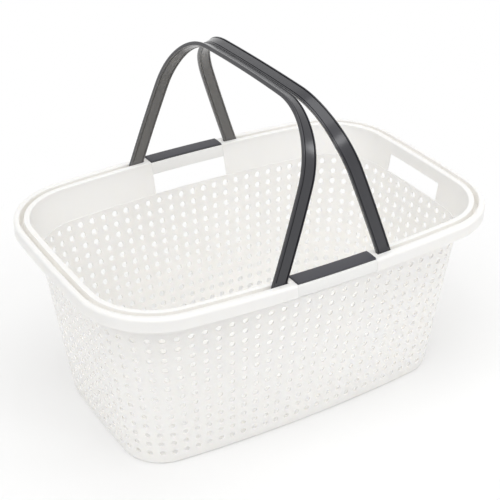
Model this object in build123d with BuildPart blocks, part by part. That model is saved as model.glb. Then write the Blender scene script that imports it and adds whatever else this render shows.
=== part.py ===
"""Oval carry basket with perforated tapered walls and two swing handles.

Millimetres.  +X runs along the long axis, -Y is the front, +Z is up.
The origin is at the middle of the footprint, on the surface the basket stands on.
The handles are modelled raised, leaning together over the middle.
"""
from build123d import *
from math import asin, atan2, cos, degrees, hypot, pi, radians, sin, sqrt, tan
import os

# Rim and base in plan: each oval is a long side arc, a corner arc and a short end arc
rim_length = 560.0
rim_width = 387.0
rim_corner_radius = 100.0
base_length = 454.0
base_width = 264.0
base_corner_radius = 54.0
side_radius = 1740.0
end_radius = 2490.0

# Heights
rim_height = 252.0
ledge_height = 210.0

# Walls
wall = 2.2
draft = 7.75
floor_thickness = 2.6
base_bevel = 1.6
ledge_width = 3.0
lip_bevel = 2.0
side_lip = 9.0
end_lip = 6.0
side_inner_lip = 6.5
end_inner_lip = 7.0

# Handles
strip_width = 15.0
strip_thickness = 5.0
strip_drop = 2.5
foot_round = 7.2
pivot_below_rim = 4.0
pivot_radius = 2.5
pivot_clearance = 0.08
pivot_engage = 3.6
handle_gap = 0.3

# Channel that takes the folded handles
channel_clearance = 1.0
fold_clearance = 0.4
trough_floor = 2.1
partition = 7.5
foot_clearance = 1.5
lift_slot_length = 51.0

# Hand holes under the rim, one in the middle of each side
side_hole_length = 110.0
end_hole_length = 106.0

# Grip bars and their pads
pad_seat = 1.0
pad_proud = 2.0
pad_margin = 2.3
pad_inset = 0.5
pad_bevel = 0.8
bar_bevel = 1.5

# Perforation: the wall is a run of flat facets, each hole column on a facet of its own
side_columns = 5
corner_columns = 4
end_columns = 2
top_row_drop = 10.0
lowest_row = 15.0
row_pitch = 30.1
hole_size = 6.6
hole_sides = 4

pivot_z = rim_height - pivot_below_rim
strip_foot = pivot_z - strip_drop - strip_width / 2
channel_floor = strip_foot - fold_clearance
channel_width = strip_thickness + 2 * channel_clearance
hole_top = channel_floor - trough_floor
pocket_end = side_hole_length / 2 + partition
pivot_x = pocket_end + foot_clearance + strip_width / 2
slope = tan(radians(draft))
corner_facets = 2 * corner_columns + 1
far = rim_length + rim_width

# Ovals as half length, half width, corner radius, long side radius, short end radius
RIM = (rim_length / 2, rim_width / 2, rim_corner_radius, side_radius, end_radius)
end_in = end_lip + channel_width / 2
side_in = side_lip + channel_width / 2
CHANNEL = (RIM[0] - end_in, RIM[1] - side_in, RIM[2] - (end_in + side_in) / 2, side_radius, end_radius)
end_in = channel_width / 2 + end_inner_lip
side_in = channel_width / 2 + side_inner_lip
MOUTH = (CHANNEL[0] - end_in, CHANNEL[1] - side_in, CHANNEL[2] - (end_in + side_in) / 2, side_radius, end_radius)
BASE = (base_length / 2, base_width / 2, base_corner_radius, side_radius, end_radius)
reach = CHANNEL[0] - pivot_x


def lean_angle():
    """Lean of a raised handle, at which the two crossbars stand handle_gap apart."""
    lean = 0.0
    for _ in range(30):
        half = strip_width / 2 * cos(lean) + strip_thickness / 2 * sin(lean)
        lean = asin((pivot_x + strip_drop * cos(lean) - half - handle_gap / 2) / reach)
    return degrees(lean)


def quarter_arcs(shape, grow=0.0):
    """The side, corner and end arc of one quarter: centre, radius, first and last angle."""
    length, width, corner, side, end = shape
    side_y = width - side
    end_x = length - end
    apart = hypot(end_x, side_y)
    along = ((side - corner) ** 2 - (end - corner) ** 2 + apart**2) / (2 * apart)
    across = sqrt((side - corner) ** 2 - along**2)
    cx = (along * end_x - across * side_y) / apart
    cy = side_y - (along * side_y + across * end_x) / apart
    side_angle = atan2(cy - side_y, cx)
    end_angle = atan2(cy, cx - end_x)
    return (
        ((0.0, side_y), side + grow, pi / 2, side_angle),
        ((cx, cy), corner + grow, side_angle, end_angle),
        ((end_x, 0.0), end + grow, end_angle, 0.0),
    )


def oval(shape, grow=0.0, height=0.0):
    """Face of a smooth oval, grown outward by grow, at a height."""
    side_arc, corner_arc, end_arc = quarter_arcs(shape, grow)
    (_, side_y), side_r, _, side_angle = side_arc
    (cx, cy), corner_r, _, end_angle = corner_arc
    (end_x, _), end_r, _, _ = end_arc
    first = degrees(end_angle)
    last = degrees(side_angle)
    with BuildSketch(Plane.XY.offset(height)) as outline:
        with BuildLine():
            CenterArc((0, side_y), side_r, last, 180 - 2 * last)
            CenterArc((0, -side_y), side_r, -last, 2 * last - 180)
            CenterArc((end_x, 0), end_r, -first, 2 * first)
            CenterArc((-end_x, 0), end_r, 180 - first, 2 * first)
            CenterArc((cx, cy), corner_r, first, last - first)
            CenterArc((cx, -cy), corner_r, -first, first - last)
            CenterArc((-cx, cy), corner_r, 180 - first, first - last)
            CenterArc((-cx, -cy), corner_r, 180 + first, last - first)
        make_face()
    return outline.sketch


def facet_corners(shape, grow):
    """Corners of an oval's facets in one quarter, from the long side's middle to the end's."""
    counts = (side_columns, corner_facets, end_columns)
    points = []
    for (centre, radius, start, stop), count in zip(quarter_arcs(shape, grow), counts):
        for step in range(count):
            turn = start + (stop - start) * step / count
            points.append((centre[0] + radius * cos(turn), centre[1] + radius * sin(turn)))
    points.append((shape[0] + grow, 0.0))
    return points


def facet_ring(shape, grow, height):
    """Corners of a whole faceted oval, grown outward by grow, at a height."""
    quarter = facet_corners(shape, grow)
    right = quarter[:-1] + [(x, -y) for x, y in reversed(quarter)][:-1]
    around = right + [(-x, -y) for x, y in right]
    return [Vector(x, y, height) for x, y in around]


def wall_ring_at(height, grow=0.0):
    """Corners of the tapered wall's outside at a height, grown outward by grow."""
    return facet_ring(BASE, height * slope + grow, height)


def frustum(low, high):
    """Solid with flat sides between two rings of as many corners."""
    sides = [
        Face(Wire.make_polygon([low[i - 1], low[i], high[i], high[i - 1]]))
        for i in range(len(low))
    ]
    ends = [Face(Wire.make_polygon(low)), Face(Wire.make_polygon(high))]
    return Solid(Shell(sides + ends))


def folded_frustum(low, high):
    """Solid between two rings whose facets turn, each side folded along a diagonal."""
    sides = []
    for i in range(len(low)):
        sides.append(Face(Wire.make_polygon([low[i - 1], low[i], high[i]])))
        sides.append(Face(Wire.make_polygon([low[i - 1], high[i], high[i - 1]])))
    ends = [Face(Wire.make_polygon(low)), Face(Wire.make_polygon(high))]
    return Solid(Shell(sides + ends))


def hole_planes(first, last, step):
    """Planes of the holes on facets first to last of the front right quarter."""
    rows = 1 + int((ledge_height - top_row_drop - lowest_row) / row_pitch)
    planes = []
    for row in range(rows):
        height = ledge_height - top_row_drop - row * row_pitch
        corners = facet_corners(BASE, height * slope)
        for facet in range(first, last, step):
            (x0, y0), (x1, y1) = corners[facet], corners[facet + 1]
            normal = Vector(y0 - y1, x0 - x1, 0).normalized()
            planes.append(Plane(((x0 + x1) / 2, -(y0 + y1) / 2, height), z_dir=normal))
    return planes


def copy_across(piece, plane):
    """The same piece mirrored to the other side of a plane."""
    with BuildPart() as copy:
        mirror(piece.part, about=plane)
    return copy


fold = 90 + lean_angle()
middle_facet = side_columns + corner_facets // 2
last_facet = side_columns + corner_facets + end_columns
wall_corners = facet_corners(BASE, ledge_height * slope)
near_end = wall_corners[side_columns][0] - hole_size
far_end = wall_corners[side_columns + corner_facets][1] - hole_size

# Floor, on the same facets as the walls
with BuildPart() as tub_floor:
    add(frustum(wall_ring_at(0, -base_bevel), wall_ring_at(base_bevel)))
    add(frustum(wall_ring_at(base_bevel), wall_ring_at(floor_thickness)))

# Perforated wall: one plain ring, cut into sections, then pierced
ledge_foot = ledge_height - wall
ledge_grow = ledge_width + wall * slope

with BuildPart() as wall_ring:
    add(frustum(wall_ring_at(floor_thickness), wall_ring_at(ledge_height)))
    add(frustum(wall_ring_at(ledge_foot, ledge_grow), wall_ring_at(ledge_height, ledge_width)))
    add(frustum(wall_ring_at(floor_thickness, -wall), wall_ring_at(ledge_height, -wall)), mode=Mode.SUBTRACT)

front_planes = hole_planes(0, side_columns, 1)
near_planes = hole_planes(side_columns + 1, middle_facet, 2)
far_planes = hole_planes(middle_facet + 1, side_columns + corner_facets, 2)
end_planes = hole_planes(side_columns + corner_facets, last_facet, 1)

with BuildPart() as front_right_wall:
    add(wall_ring.part)
    with Locations((near_end / 2, -far / 2, 0)):
        Box(near_end, far, far, mode=Mode.INTERSECT)
    with BuildSketch(*front_planes):
        RegularPolygon(hole_size / 2, hole_sides)
    extrude(amount=2 * wall, both=True, mode=Mode.SUBTRACT)

with BuildPart() as right_front_wall:
    add(wall_ring.part)
    with Locations((far / 2, -far_end / 2, 0)):
        Box(far, far_end, far, mode=Mode.INTERSECT)
    with BuildSketch(*end_planes):
        RegularPolygon(hole_size / 2, hole_sides)
    extrude(amount=2 * wall, both=True, mode=Mode.SUBTRACT)

with BuildPart() as right_wall:
    add(right_front_wall.part)
    mirror(right_front_wall.part, about=Plane.XZ)

corner_x, corner_y = quarter_arcs(BASE)[1][0]
corner_turn = (quarter_arcs(BASE)[1][2] + quarter_arcs(BASE)[1][3]) / 2
corner_split = Plane((corner_x, -corner_y, 0), z_dir=(sin(corner_turn), cos(corner_turn), 0))

with BuildPart() as corner_ring:
    add(wall_ring.part)
    with Locations((near_end + far / 2, -far_end - far / 2, 0)):
        Box(far, far, far, mode=Mode.INTERSECT)

with BuildPart() as front_right_corner_near:
    split(corner_ring.part, bisect_by=corner_split, keep=Keep.BOTTOM)
    with BuildSketch(*near_planes):
        RegularPolygon(hole_size / 2, hole_sides)
    extrude(amount=2 * wall, both=True, mode=Mode.SUBTRACT)

with BuildPart() as front_right_corner_far:
    split(corner_ring.part, bisect_by=corner_split, keep=Keep.TOP)
    with BuildSketch(*far_planes):
        RegularPolygon(hole_size / 2, hole_sides)
    extrude(amount=2 * wall, both=True, mode=Mode.SUBTRACT)

# Rim: skirt, outer lip, channel and inner lip, with the plain band below
band_foot = wall_ring_at(ledge_height, ledge_width)
band_foot_inside = wall_ring_at(ledge_height, ledge_width - wall)
band_top = facet_ring(MOUTH, wall, rim_height)
mouth = facet_ring(MOUTH, 0, rim_height)
rim_foot = oval(RIM, 0, hole_top)
groove_outside = oval(CHANNEL, channel_width / 2, channel_floor)
groove_inside = oval(CHANNEL, -channel_width / 2, channel_floor)

with BuildPart() as mouth_space:
    add(folded_frustum(band_foot_inside, mouth))

with BuildPart() as groove_space:
    extrude(groove_outside, amount=rim_height)
    extrude(groove_inside, amount=rim_height, mode=Mode.SUBTRACT)
    Box(2 * pocket_end, far, far, mode=Mode.SUBTRACT)

with BuildPart() as rim_ring:
    extrude(rim_foot, amount=rim_height - hole_top)
    chamfer(rim_ring.faces().sort_by(Axis.Z)[-1].edges(), lip_bevel)
    add(folded_frustum(band_foot, band_top))
    add(mouth_space.part, mode=Mode.SUBTRACT)
    add(groove_space.part, mode=Mode.SUBTRACT)

pivot_y = CHANNEL[1] - side_radius + sqrt(side_radius**2 - pivot_x**2)
pin_y = pivot_y + strip_thickness / 2
rim_corner_x = corner_x - wall - side_in

with BuildPart() as front_right_rim:
    add(rim_ring.part)
    with Locations(((side_hole_length / 2 + rim_corner_x) / 2, -far / 2, 0)):
        Box(rim_corner_x - side_hole_length / 2, far, far, mode=Mode.INTERSECT)
    with BuildSketch(Plane((pivot_x, -pivot_y, pivot_z), z_dir=(0, -1, 0))):
        Circle(pivot_radius + pivot_clearance)
    extrude(amount=pin_y - pivot_y + pivot_engage + fold_clearance, mode=Mode.SUBTRACT)

with BuildPart() as right_rim:
    add(rim_ring.part)
    with Locations((far / 2, 0, hole_top + far / 2)):
        Box(far, end_hole_length, far, mode=Mode.INTERSECT)
    with Locations((CHANNEL[0], 0, hole_top)):
        Box(channel_width, lift_slot_length, rim_height - hole_top, mode=Mode.SUBTRACT)

with BuildPart() as front_right_rim_corner:
    add(rim_ring.part)
    with Locations((rim_corner_x + far / 2, -end_hole_length / 2 - far / 2, 0)):
        Box(far, far, far, mode=Mode.INTERSECT)

# Grip bars between the side rims, each with a dark pad let into its top
pad_outside = oval(RIM, -pad_margin, rim_height - pad_seat)
pad_inside = oval(MOUTH, pad_inset, rim_height - pad_seat)

with BuildPart() as front_grip_bar:
    extrude(rim_foot, amount=rim_height - hole_top - pad_seat)
    add(mouth_space.part, mode=Mode.SUBTRACT)
    with Locations((0, -far / 2, 0)):
        Box(side_hole_length, far, far, mode=Mode.INTERSECT)
    chamfer(front_grip_bar.faces().sort_by(Axis.Z)[0].edges().sort_by(Axis.Y)[0], bar_bevel)

with BuildPart() as front_grip_pad:
    extrude(pad_outside, amount=pad_seat + pad_proud)
    extrude(pad_inside, amount=pad_seat + pad_proud, mode=Mode.SUBTRACT)
    with Locations((0, -far / 2, 0)):
        Box(side_hole_length - 2 * pad_inset, far, far, mode=Mode.INTERSECT)
    chamfer(front_grip_pad.faces().sort_by(Axis.Z)[-1].edges(), pad_bevel)

# Handles: a strip bent along the channel, drawn folded down and then swung up
strip_outside = oval(CHANNEL, strip_thickness / 2, strip_foot)
strip_inside = oval(CHANNEL, -strip_thickness / 2, strip_foot)

with BuildPart() as folded_handle:
    extrude(strip_outside, amount=strip_width)
    extrude(strip_inside, amount=strip_width, mode=Mode.SUBTRACT)
    with Locations((pivot_x - strip_width / 2 + far / 2, 0, pivot_z)):
        Box(far, far, far, mode=Mode.INTERSECT)
    fillet(folded_handle.faces().group_by(Axis.X)[0].edges().filter_by(Axis.Y), foot_round)
    with BuildSketch(
        Plane((pivot_x, -pivot_y, pivot_z), z_dir=(0, -1, 0)),
        Plane((pivot_x, pivot_y, pivot_z), z_dir=(0, 1, 0)),
    ):
        Circle(pivot_radius)
    extrude(amount=pin_y - pivot_y + pivot_engage)

with BuildPart() as right_handle:
    add(folded_handle.part.rotate(Axis((pivot_x, 0, pivot_z), (0, 1, 0)), -fold))

front_left_wall = copy_across(front_right_wall, Plane.YZ)
front_left_corner_near = copy_across(front_right_corner_near, Plane.YZ)
front_left_corner_far = copy_across(front_right_corner_far, Plane.YZ)
front_left_rim = copy_across(front_right_rim, Plane.YZ)
front_left_rim_corner = copy_across(front_right_rim_corner, Plane.YZ)

pieces = {
    "tub_floor": tub_floor,
    "front_right_wall": front_right_wall,
    "front_left_wall": front_left_wall,
    "back_right_wall": copy_across(front_right_wall, Plane.XZ),
    "back_left_wall": copy_across(front_left_wall, Plane.XZ),
    "right_wall": right_wall,
    "left_wall": copy_across(right_wall, Plane.YZ),
    "front_right_corner_near": front_right_corner_near,
    "front_right_corner_far": front_right_corner_far,
    "front_left_corner_near": front_left_corner_near,
    "front_left_corner_far": front_left_corner_far,
    "back_right_corner_near": copy_across(front_right_corner_near, Plane.XZ),
    "back_right_corner_far": copy_across(front_right_corner_far, Plane.XZ),
    "back_left_corner_near": copy_across(front_left_corner_near, Plane.XZ),
    "back_left_corner_far": copy_across(front_left_corner_far, Plane.XZ),
    "front_right_rim": front_right_rim,
    "front_left_rim": front_left_rim,
    "back_right_rim": copy_across(front_right_rim, Plane.XZ),
    "back_left_rim": copy_across(front_left_rim, Plane.XZ),
    "right_rim": right_rim,
    "left_rim": copy_across(right_rim, Plane.YZ),
    "front_right_rim_corner": front_right_rim_corner,
    "front_left_rim_corner": front_left_rim_corner,
    "back_right_rim_corner": copy_across(front_right_rim_corner, Plane.XZ),
    "back_left_rim_corner": copy_across(front_left_rim_corner, Plane.XZ),
    "front_grip_bar": front_grip_bar,
    "back_grip_bar": copy_across(front_grip_bar, Plane.XZ),
    "front_grip_pad": front_grip_pad,
    "back_grip_pad": copy_across(front_grip_pad, Plane.XZ),
    "right_handle": right_handle,
    "left_handle": copy_across(right_handle, Plane.YZ),
}

os.makedirs("parts", exist_ok=True)
for name, piece in pieces.items():
    piece.part.label = name
    export_step(piece.part, f"parts/{name}.step")
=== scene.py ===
"""Perforated carry basket: the finished look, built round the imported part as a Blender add-on."""
import math
from collections import Counter

import bpy
import numpy as np
from mathutils import Matrix, Vector


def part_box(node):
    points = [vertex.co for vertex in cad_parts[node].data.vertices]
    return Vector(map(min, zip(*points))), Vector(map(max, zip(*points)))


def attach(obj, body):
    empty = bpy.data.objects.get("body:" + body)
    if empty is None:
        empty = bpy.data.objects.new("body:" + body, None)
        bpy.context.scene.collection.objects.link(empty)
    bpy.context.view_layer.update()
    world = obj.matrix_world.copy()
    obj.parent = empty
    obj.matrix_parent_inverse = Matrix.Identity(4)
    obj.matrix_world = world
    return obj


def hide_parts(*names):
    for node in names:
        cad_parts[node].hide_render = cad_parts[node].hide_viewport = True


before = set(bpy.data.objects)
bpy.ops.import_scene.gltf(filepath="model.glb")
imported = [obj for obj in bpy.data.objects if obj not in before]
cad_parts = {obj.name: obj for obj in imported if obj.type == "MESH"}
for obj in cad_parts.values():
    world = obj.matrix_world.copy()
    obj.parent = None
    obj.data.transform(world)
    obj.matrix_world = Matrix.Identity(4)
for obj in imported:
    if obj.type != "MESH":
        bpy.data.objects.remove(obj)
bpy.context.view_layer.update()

bl_info = {
    "name": "Perforated Carry Basket",
    "version": (1, 0, 0),
    "blender": (4, 5, 0),
    "location": "View3D > Sidebar > Basket",
    "description": "Models a moulded basket with round holes, grip bars and two swing handles",
    "category": "Add Mesh",
}

RIM_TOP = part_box("right_rim")[1].z
SIDES = ("front", "back")
ENDS = ("right", "left")
CORNERS = [f"{side}_{end}" for side in SIDES for end in ENDS]

# Where the stations round a corner start along the front and stop across the right end
CORNER_FROM = 0.150
CORNER_TO = 0.070

# Wall: one pierced cell of the flat sheet, the rows round the foot and the lifted floor
CELL_HOLE = 0.3
CELL_POINTS = 16
ROW_MATCH = 0.1
FOOT_STEPS = 6
FLOOR_BORDER = 0.012
FLOOR_STEP = 0.002
FLOOR_LIFT = 0.0008

# Rim: stations and rows between those that the sizes give, and steps of its rounds
RIM_BAR_STATIONS = (0.0, 0.018, 0.037)
RIM_SIDE_STATIONS = (0.066, 0.080, 0.095, 0.110, 0.125, 0.140)
RIM_CORNER_STEPS = 30
RIM_BEFORE_HOLE = 0.062
RIM_HOLE_STATIONS = (0.045, 0.036)
RIM_SLOT_STATIONS = (0.017, 0.008, 0.0)
SKIRT_MIDDLE = 0.242
BAND_TOP = 0.243
HAND_HOLE_MIDDLE = 0.2230
BAND_FOOT = 0.0004
BAND_OVERLAP = 0.0003
CHANNEL_CORNER = 0.0008
CHANNEL_STEPS = 3
LIP_STEPS = 8
EDGE_STEPS = 4
MOUTH_STEPS = 7

# Grip bars and pads
BAR_EDGE = 0.0010
BAR_STEPS = 8
PAD_CROWN = 0.0004
PAD_STEPS = 12
PAD_ROWS = 8
FINE_BEVEL = 0.0004

# Handles: stations from the round foot to the crossbar, the taper and the strip's section
FOOT_ANGLES = (12, 24, 36, 48, 60, 72, 90)
FOOT_MIDDLE = 0.0745
FOOT_BEFORE = 0.0004
FOOT_AFTER = 0.0006
FOOT_REACH = 0.001
LEG_STATIONS = (0.084, 0.097, 0.110, 0.124, 0.137)
CROSSBAR_STATIONS = (0.053, 0.036, 0.018, 0.0)
HANDLE_CORNER_STEPS = 36
TAPER_FROM = 0.222
TAPER_LENGTH = 0.043
STRIP_EDGE = 0.0008
STRIP_SLANT = 0.0004
STRIP_STEPS = 3
STRIP_CROWN = 0.85
STRIP_CROWN_PLACE = 0.3
GROOVE_WIDTH = 0.0007
STUB_SUNK = 0.001

# Plastics
CLOUD_SCALE = 9.0
CLOUD_DETAIL = 3.0
GRAIN_SCALE = 1400.0
GRAIN_DETAIL = 2.0
GRAIN_DEPTH = 0.0002
GLOSS_SPREAD = 0.05
PLASTIC_IOR = 1.49
COAT_ROUGHNESS = 0.20
SCATTER_RADIUS = (1.0, 0.92, 0.78)
SCATTER_SCALE = 0.005

# Stage: lamps by direction and spread in degrees, soft panels by place, and the floor's lift to white
LAMPS = (
    ("left", (-0.58, -0.25, 0.77), 40),
    ("right", (0.40, -0.50, 0.77), 40),
    ("top", (0.0, -0.10, 1.0), 50),
)
PANELS = (("right_panel", (1.23, -0.86, 0.91)), ("front_panel", (0.27, -1.36, 1.26)))
PANEL_AIM = (0.0, -0.155, 0.40)
PANEL_SIZE = 0.30
SENSOR_WIDTH = 36.0
CAMERA_SHIFT = (-0.00376, -0.003)
CAMERA_REACH = 50
FLOOR_SIZE = 16
FLOOR_DROP = 0.0002
LIFT_RANGE = {"From Min": 0.30, "From Max": 0.62, "To Min": 0.30, "To Max": 1.0}
SKY_COLOUR = (1.0, 0.98, 0.95, 1)


class TubSizes(bpy.types.PropertyGroup):
    """Sizes of the moulded tub."""

    rim_length: bpy.props.FloatProperty(
        name="Rim Length", description="Overall length of the rim", default=0.560, unit="LENGTH"
    )
    rim_width: bpy.props.FloatProperty(
        name="Rim Width", description="Overall width of the rim", default=0.387, unit="LENGTH"
    )
    rim_corner: bpy.props.FloatProperty(
        name="Rim Corner", description="Corner radius of the rim", default=0.100, unit="LENGTH"
    )
    base_length: bpy.props.FloatProperty(
        name="Base Length", description="Length of the wall at the floor", default=0.454, unit="LENGTH"
    )
    base_width: bpy.props.FloatProperty(
        name="Base Width", description="Width of the wall at the floor", default=0.264, unit="LENGTH"
    )
    base_corner: bpy.props.FloatProperty(
        name="Base Corner",
        description="Corner radius of the wall at the floor",
        default=0.054,
        unit="LENGTH",
    )
    side_bow: bpy.props.FloatProperty(
        name="Side Bow", description="Radius of the bowed long sides", default=1.740, unit="LENGTH"
    )
    end_bow: bpy.props.FloatProperty(
        name="End Bow", description="Radius of the bowed short ends", default=2.490, unit="LENGTH"
    )
    rim_height: bpy.props.FloatProperty(
        name="Rim Height", description="Height of the rim's top", default=RIM_TOP, unit="LENGTH"
    )
    ledge_height: bpy.props.FloatProperty(
        name="Ledge Height", description="Height of the ledge above the holes", default=0.210, unit="LENGTH"
    )
    draft: bpy.props.FloatProperty(
        name="Draft", description="Lean of the perforated wall", default=math.radians(7.75), subtype="ANGLE"
    )
    wall: bpy.props.FloatProperty(
        name="Wall", description="Thickness of the perforated wall", default=0.0022, unit="LENGTH"
    )
    rim_wall: bpy.props.FloatProperty(
        name="Rim Wall", description="Thickness of the folded rim", default=0.0016, unit="LENGTH"
    )
    foot_round: bpy.props.FloatProperty(
        name="Foot Round", description="Radius between wall and floor", default=0.005, unit="LENGTH"
    )
    ledge_width: bpy.props.FloatProperty(
        name="Ledge Width",
        description="Step out of the inner face at the ledge",
        default=0.0008,
        unit="LENGTH",
    )
    hole_columns: bpy.props.IntProperty(
        name="Hole Columns", description="Columns of holes round the wall", default=86, min=8
    )
    hole_rows: bpy.props.IntProperty(
        name="Hole Rows", description="Rows of holes up the wall", default=13, min=1
    )
    top_row: bpy.props.FloatProperty(
        name="Top Row", description="Height of the highest row of holes", default=0.200, unit="LENGTH"
    )
    row_pitch: bpy.props.FloatProperty(
        name="Row Pitch", description="Height between rows of holes", default=0.01505, unit="LENGTH"
    )
    hole_top: bpy.props.FloatProperty(
        name="Top Hole", description="Diameter of a hole in the top row", default=0.0072, unit="LENGTH"
    )
    hole_low: bpy.props.FloatProperty(
        name="Low Hole", description="Diameter of a hole in the lowest row", default=0.0069, unit="LENGTH"
    )
    hole_flare: bpy.props.FloatProperty(
        name="Hole Flare",
        description="How much its radius grows on the inside",
        default=0.0006,
        unit="LENGTH",
    )
    side_lip: bpy.props.FloatProperty(
        name="Side Lip", description="Outer lip on the long sides", default=0.009, unit="LENGTH"
    )
    end_lip: bpy.props.FloatProperty(
        name="End Lip", description="Outer lip at the short ends", default=0.006, unit="LENGTH"
    )
    side_inner_lip: bpy.props.FloatProperty(
        name="Side Inner Lip", description="Inner lip on the long sides", default=0.0065, unit="LENGTH"
    )
    end_inner_lip: bpy.props.FloatProperty(
        name="End Inner Lip", description="Inner lip at the short ends", default=0.007, unit="LENGTH"
    )
    channel_width: bpy.props.FloatProperty(
        name="Channel Width",
        description="Width of the channel for the handles",
        default=0.007,
        unit="LENGTH",
    )
    channel_gap: bpy.props.FloatProperty(
        name="Channel Gap",
        description="Opening of the channel between its edges",
        default=0.0057,
        unit="LENGTH",
    )
    channel_floor: bpy.props.FloatProperty(
        name="Channel Floor", description="Height of the channel's floor", default=0.2366, unit="LENGTH"
    )
    skirt_foot: bpy.props.FloatProperty(
        name="Skirt Foot", description="Height of the rim's lower edge", default=0.2355, unit="LENGTH"
    )
    lip_round: bpy.props.FloatProperty(
        name="Lip Round", description="Radius of the rim's outer edge", default=0.0038, unit="LENGTH"
    )
    channel_round: bpy.props.FloatProperty(
        name="Channel Round", description="Radius of the channel's edges", default=0.0009, unit="LENGTH"
    )
    mouth_round: bpy.props.FloatProperty(
        name="Mouth Round", description="Radius of the rim's inner edge", default=0.0018, unit="LENGTH"
    )
    side_hole: bpy.props.FloatProperty(
        name="Side Hand Hole",
        description="Length of the hand hole in a long side",
        default=0.110,
        unit="LENGTH",
    )
    end_hole: bpy.props.FloatProperty(
        name="End Hand Hole",
        description="Length of the hand hole in a short end",
        default=0.106,
        unit="LENGTH",
    )
    pocket_end: bpy.props.FloatProperty(
        name="Pocket End",
        description="Where the channel stops beside a grip bar",
        default=0.0620,
        unit="LENGTH",
    )
    finger_slot: bpy.props.FloatProperty(
        name="Finger Slot",
        description="Length of the slot in the channel's floor",
        default=0.051,
        unit="LENGTH",
    )


class GripSizes(bpy.types.PropertyGroup):
    """Sizes of the grip bars and their pads."""

    seam: bpy.props.FloatProperty(
        name="Seam", description="Gap between a bar and the rim", default=0.0002, unit="LENGTH"
    )
    seat: bpy.props.FloatProperty(
        name="Pad Seat", description="Depth of the pad's seat below the rim", default=0.001, unit="LENGTH"
    )
    pad_proud: bpy.props.FloatProperty(
        name="Pad Proud", description="Height of the pad above the rim", default=0.002, unit="LENGTH"
    )
    pad_margin: bpy.props.FloatProperty(
        name="Pad Margin", description="White edge outside the pad", default=0.0023, unit="LENGTH"
    )
    pad_inset: bpy.props.FloatProperty(
        name="Pad Inset", description="White edge inside the pad", default=0.0005, unit="LENGTH"
    )
    pad_round: bpy.props.FloatProperty(
        name="Pad Round", description="Radius of the pad's edges", default=0.0009, unit="LENGTH"
    )
    bar_round: bpy.props.FloatProperty(
        name="Bar Round", description="Radius of the bar's lower edges", default=0.0015, unit="LENGTH"
    )


class HandleSizes(bpy.types.PropertyGroup):
    """Sizes of the swing handles."""

    strip_width: bpy.props.FloatProperty(
        name="Strip Width", description="Width of the strip on the legs", default=0.0181, unit="LENGTH"
    )
    bar_width: bpy.props.FloatProperty(
        name="Bar Width", description="Width of the strip at the crossbar", default=0.0152, unit="LENGTH"
    )
    bar_middle: bpy.props.FloatProperty(
        name="Bar Middle",
        description="Height of the folded crossbar's middle",
        default=0.2453,
        unit="LENGTH",
    )
    strip_thickness: bpy.props.FloatProperty(
        name="Strip Thickness", description="Thickness of the handle's strip", default=0.005, unit="LENGTH"
    )
    strip_middle: bpy.props.FloatProperty(
        name="Strip Middle",
        description="Height of the folded strip's middle",
        default=0.24595,
        unit="LENGTH",
    )
    bead: bpy.props.FloatProperty(
        name="Bead", description="Width of the raised edge of the strip", default=0.0019, unit="LENGTH"
    )
    recess: bpy.props.FloatProperty(
        name="Recess", description="Depth of the face between the beads", default=0.0006, unit="LENGTH"
    )
    groove: bpy.props.FloatProperty(
        name="Groove", description="Depth of the fine groove beside a bead", default=0.0009, unit="LENGTH"
    )
    foot: bpy.props.FloatProperty(
        name="Foot", description="Plain length at the handle's foot", default=0.014, unit="LENGTH"
    )
    pivot_x: bpy.props.FloatProperty(
        name="Pivot", description="Pivot from the middle of the basket", default=0.0715, unit="LENGTH"
    )
    pivot_z: bpy.props.FloatProperty(
        name="Pivot Height", description="Height of the pivot", default=0.248, unit="LENGTH"
    )
    stub_radius: bpy.props.FloatProperty(
        name="Stub Radius", description="Radius of the pivot stub", default=0.0025, unit="LENGTH"
    )
    stub_length: bpy.props.FloatProperty(
        name="Stub Length", description="Length of the pivot stub", default=0.0036, unit="LENGTH"
    )
    fold: bpy.props.FloatProperty(
        name="Fold",
        description="Swing from folded to raised",
        default=math.radians(109.31),
        subtype="ANGLE",
    )


class FinishColours(bpy.types.PropertyGroup):
    """Colours of the plastics, with painted light in the rim's channel and a painted reflection on the
    handles' inner faces.
    """

    tub: bpy.props.FloatVectorProperty(
        name="Tub",
        description="Warm white of the tub",
        default=(0.965, 0.954, 0.932),
        subtype="COLOR",
        size=3,
    )
    # Painted light: a brighter cream on the channel's deep rows, lifting the shade that falls in the
    # channel.
    channel: bpy.props.FloatVectorProperty(
        name="Channel",
        description="Clean cream white in the rim's channel",
        default=(1.0, 0.984, 0.955),
        subtype="COLOR",
        size=3,
    )
    bar: bpy.props.FloatVectorProperty(
        name="Grip Bar",
        description="Cooler white of the bars",
        default=(0.905, 0.902, 0.895),
        subtype="COLOR",
        size=3,
    )
    handle: bpy.props.FloatVectorProperty(
        name="Handle",
        description="Charcoal of the handles",
        default=(0.018, 0.018, 0.024),
        subtype="COLOR",
        size=3,
    )
    # Painted reflection: a lighter grey on the handles' inner faces, standing in for the white basket and
    # floor reflected there.
    inside: bpy.props.FloatVectorProperty(
        name="Handle Inside",
        description="Matte grey on the inside of the handles",
        default=(0.130, 0.127, 0.125),
        subtype="COLOR",
        size=3,
    )
    pad: bpy.props.FloatVectorProperty(
        name="Pad", description="Grey of the pads", default=(0.058, 0.058, 0.068), subtype="COLOR", size=3
    )


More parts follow.
